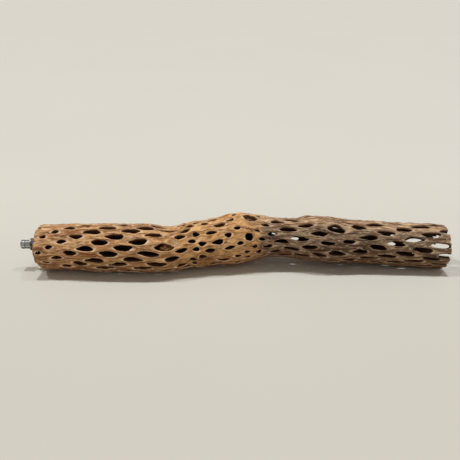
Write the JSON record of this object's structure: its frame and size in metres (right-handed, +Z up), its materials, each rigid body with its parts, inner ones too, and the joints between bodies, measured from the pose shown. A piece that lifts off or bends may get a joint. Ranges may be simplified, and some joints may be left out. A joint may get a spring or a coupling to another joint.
{
  "type": "cholla cactus skeleton",
  "caption": "Dried hollow cholla cactus skeleton, a net-like wood log sawn square at both ends, with a stud, two washers and two hex nuts at one end.",
  "frame": {"origin": "middle of the whole part's box, at the surface the log lies on", "axes": "+X along the log from the nuts to the open end, +Y away from the viewer of the picture, +Z up"},
  "size_m": [0.422, 0.065, 0.0521],
  "materials": {
    "weathered_wood": "dry satin",
    "plug_wood": "matt",
    "zinc_thread": "zinc plated",
    "zinc_washer": "zinc plated",
    "zinc_nut": "zinc plated"
  },
  "bodies": {
    "log": {"cholla_skeleton": "weathered_wood", "end_plug": "plug_wood", "stud": "zinc_thread", "inner_washer": "zinc_washer"},
    "washer": {"outer_washer": "zinc_washer"},
    "nut": {"clamp_nut": "zinc_nut", "lock_nut": "zinc_nut"}
  },
  "joints": [
    {"name": "washer_slide", "type": "slide", "parent": "log", "child": "washer", "axis": [1, 0, 0], "range_m": [-0.0032, 0.0064]},
    {"name": "nut_turn", "type": "hinge", "parent": "washer", "child": "nut", "pos_m": [-0.2046, -0.0044, 0.0268], "axis": [1, 0, 0], "range_deg": [-1441, 2881]}
  ],
  "couplings": [
    {"joint": "nut_turn", "follows": "washer_slide", "rad_per_m": 7854}
  ]
}
